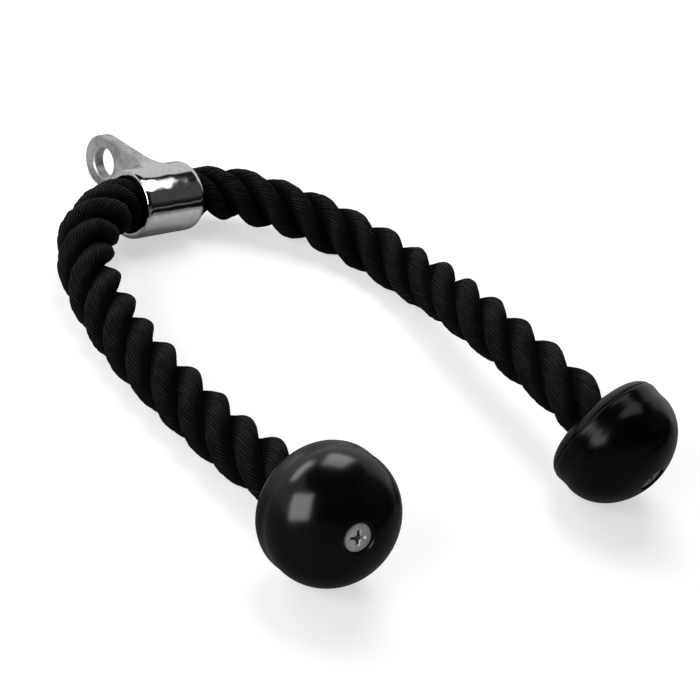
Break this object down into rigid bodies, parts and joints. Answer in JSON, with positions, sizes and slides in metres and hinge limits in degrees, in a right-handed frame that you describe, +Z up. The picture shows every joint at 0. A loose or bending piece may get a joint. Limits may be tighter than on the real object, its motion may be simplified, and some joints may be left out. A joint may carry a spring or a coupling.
{
  "type": "triceps rope attachment",
  "caption": "Laid rope threaded through a chromed eye collar, with a screwed-on rubber stop ball at each end; hangs from a cable machine by the eye.",
  "frame": {"origin": "middle of the footprint of the collar and the balls, on the surface that the rope lies on", "axes": "+Z up from the surface, +Y from the balls towards the eye, +X along the collar's barrel towards the right arm"},
  "size_m": [0.2609, 0.35, 0.0685],
  "materials": {
    "rope": "matt twisted yarn",
    "chrome_casting": "polished plating over a cast surface",
    "rubber": "satin gloss moulded",
    "zinc_steel": "zinc plated",
    "crimp_aluminium": "plain",
    "grey_plastic": "moulded"
  },
  "bodies": {
    "rope": {"rope_middle": "rope"},
    "collar": {"eye_collar": "chrome_casting"},
    "left_arm": {"left_rope_arm": "rope", "left_stop_ball": "rubber", "left_rope_end": "rope", "left_crimp_ferrule": "crimp_aluminium", "left_screw_anchor": "grey_plastic", "left_washer": "zinc_steel", "left_end_screw": "zinc_steel"},
    "right_arm": {"right_rope_arm": "rope", "right_stop_ball": "rubber", "right_rope_end": "rope", "right_crimp_ferrule": "crimp_aluminium", "right_screw_anchor": "grey_plastic", "right_washer": "zinc_steel", "right_end_screw": "zinc_steel"}
  },
  "joints": [
    {"name": "collar_spin", "type": "hinge", "parent": "rope", "child": "collar", "pos_m": [-0.0078, 0.1156, 0.019], "axis": [1, 0, 0], "continuous": true},
    {"name": "left_arm_swing", "type": "hinge", "parent": "rope", "child": "left_arm", "pos_m": [-0.0313, 0.1156, 0.019], "axis": [0, 0, 1], "range_deg": [-45, 12]},
    {"name": "right_arm_swing", "type": "hinge", "parent": "rope", "child": "right_arm", "pos_m": [0.0157, 0.1156, 0.019], "axis": [0, 0, 1], "range_deg": [-12, 45]}
  ]
}
